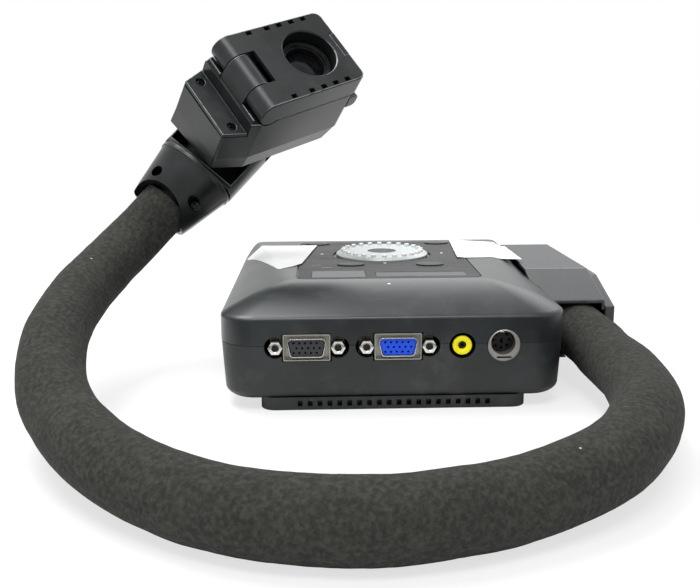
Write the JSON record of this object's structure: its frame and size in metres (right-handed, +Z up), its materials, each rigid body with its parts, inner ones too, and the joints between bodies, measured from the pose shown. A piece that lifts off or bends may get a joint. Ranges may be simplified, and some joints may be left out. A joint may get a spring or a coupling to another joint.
{
  "type": "document camera",
  "caption": "Desktop document camera: a base with keys, dial and sockets, a foam-covered bendable neck, and a tilting camera head with a hinged lens lid.",
  "frame": {"origin": "middle of the plinth's flat underside, on the table", "axes": "+Z up, -Y out of the socket face, +X towards the neck's root"},
  "size_m": [0.2441, 0.268, 0.1622],
  "materials": {
    "shell": "dark blue-grey moulded plastic, satin",
    "shell_lower": "dark blue-grey moulded plastic, satin",
    "panel": "dark overlay film, semi-gloss",
    "plate": "bare grey plate",
    "dial": "silver-white lacquer, satin",
    "key": "black plastic",
    "head_shell": "dark grey moulded plastic, fine grain",
    "foam": "charcoal foam rubber with dust",
    "pad": "black rubber",
    "steel": "nickel-plated steel",
    "socket_grey": "dark grey socket insert",
    "socket_blue": "royal blue socket insert",
    "socket_yellow": "yellow socket ring",
    "socket_black": "black plastic",
    "board": "green circuit board",
    "lens": "coated lens glass"
  },
  "bodies": {
    "base": {"upper_shell": "shell", "lower_shell": "shell_lower", "ballast_plate": "steel", "main_board": "board", "key_board": "board", "foot_pad_1": "pad", "foot_pad_2": "pad", "foot_pad_3": "pad", "foot_pad_4": "pad", "control_panel": "panel", "window_plate": "panel", "name_plate": "plate", "display_out_shell": "steel", "display_out_insert": "socket_grey", "display_out_standoff_1": "steel", "display_out_standoff_2": "steel", "display_in_shell": "steel", "display_in_insert": "socket_blue", "display_in_standoff_1": "steel", "display_in_standoff_2": "steel", "video_jack_barrel": "steel", "video_jack_ring": "socket_yellow", "serial_jack_shell": "steel", "serial_jack_insert": "socket_black", "neck_cover": "shell", "neck_cover_cap": "shell", "neck_clamp": "shell_lower", "neck_sleeve_1": "foam", "neck_core_1": "steel", "neck_bend_1": "foam"},
    "neck_link_1": {"neck_sleeve_2": "foam", "neck_core_2": "steel", "neck_bend_2": "foam"},
    "neck_link_2": {"neck_sleeve_3": "foam", "neck_core_3": "steel", "neck_bend_3": "foam"},
    "neck_link_3": {"neck_sleeve_4": "foam", "neck_core_4": "steel", "collar_front": "head_shell", "collar_back": "head_shell", "collar_screw_1": "steel", "collar_screw_2": "steel", "yoke": "head_shell", "tilt_pin": "steel"},
    "swivel": {"turret": "head_shell"},
    "head": {"head_housing": "head_shell", "hinge_cover": "head_shell", "head_screw_1": "steel", "head_screw_2": "steel", "hinge_pin": "steel", "lens_barrel": "socket_black", "lens_glass": "lens", "sensor_board": "board"},
    "lid": {"lens_lid": "head_shell"},
    "dial": {"dial_ring": "dial"},
    "dial_key": {"dial_button": "key"},
    "key_front_left": {"front_left_key": "key"},
    "key_front_right": {"front_right_key": "key"},
    "key_back_right": {"back_right_key": "key"},
    "key_back_left": {"back_left_key": "key"}
  },
  "joints": [
    {"name": "neck_swing", "type": "hinge", "parent": "base", "child": "neck_link_1", "pos_m": [0.08711, -0.10087, 0.01848], "axis": [0, 0, 1], "range_deg": [-8, 45], "deforming": ["neck_bend_1"]},
    {"name": "neck_lift", "type": "hinge", "parent": "neck_link_1", "child": "neck_link_2", "pos_m": [-0.0142, -0.1884, 0.0125], "axis": [-0.0328, 0.9995, 0], "range_deg": [0, 45], "deforming": ["neck_bend_2"]},
    {"name": "neck_rise", "type": "hinge", "parent": "neck_link_2", "child": "neck_link_3", "pos_m": [-0.12904, -0.08358, 0.0334], "axis": [0.9905, 0.1374, 0], "range_deg": [-4, 45], "deforming": ["neck_bend_3"]},
    {"name": "head_tilt", "type": "hinge", "parent": "neck_link_3", "child": "swivel", "pos_m": [-0.06943, 0.03326, 0.1084], "axis": [0.7607, -0.1997, -0.6176], "range_deg": [-60, 2]},
    {"name": "head_swivel", "type": "hinge", "parent": "swivel", "child": "head", "pos_m": [-0.06943, 0.03326, 0.1084], "axis": [0.3297, -0.7007, 0.6327], "range_deg": [-60, 25]},
    {"name": "lid_hinge", "type": "hinge", "parent": "head", "child": "lid", "pos_m": [-0.05973, -0.00765, 0.13145], "axis": [0.544, -0.4067, -0.7339], "range_deg": [0, 105]},
    {"name": "dial_turn", "type": "hinge", "parent": "base", "child": "dial", "pos_m": [0.0005, 0.0225, 0.0489], "axis": [0, 0, 1], "range_deg": [-30, 30], "stiffness_Nm_per_rad": 0.03},
    {"name": "dial_press", "type": "slide", "parent": "base", "child": "dial_key", "axis": [0, 0, -1], "range_m": [0, 0.0008], "stiffness_N_per_m": 600, "springref_m": -0.0006},
    {"name": "front_left_press", "type": "slide", "parent": "base", "child": "key_front_left", "axis": [0, 0, -1], "range_m": [0, 0.0008], "stiffness_N_per_m": 600, "springref_m": -0.0006},
    {"name": "front_right_press", "type": "slide", "parent": "base", "child": "key_front_right", "axis": [0, 0, -1], "range_m": [0, 0.0008], "stiffness_N_per_m": 600, "springref_m": -0.0006},
    {"name": "back_right_press", "type": "slide", "parent": "base", "child": "key_back_right", "axis": [0, 0, -1], "range_m": [0, 0.0008], "stiffness_N_per_m": 600, "springref_m": -0.0006},
    {"name": "back_left_press", "type": "slide", "parent": "base", "child": "key_back_left", "axis": [0, 0, -1], "range_m": [0, 0.0008], "stiffness_N_per_m": 600, "springref_m": -0.0006}
  ]
}
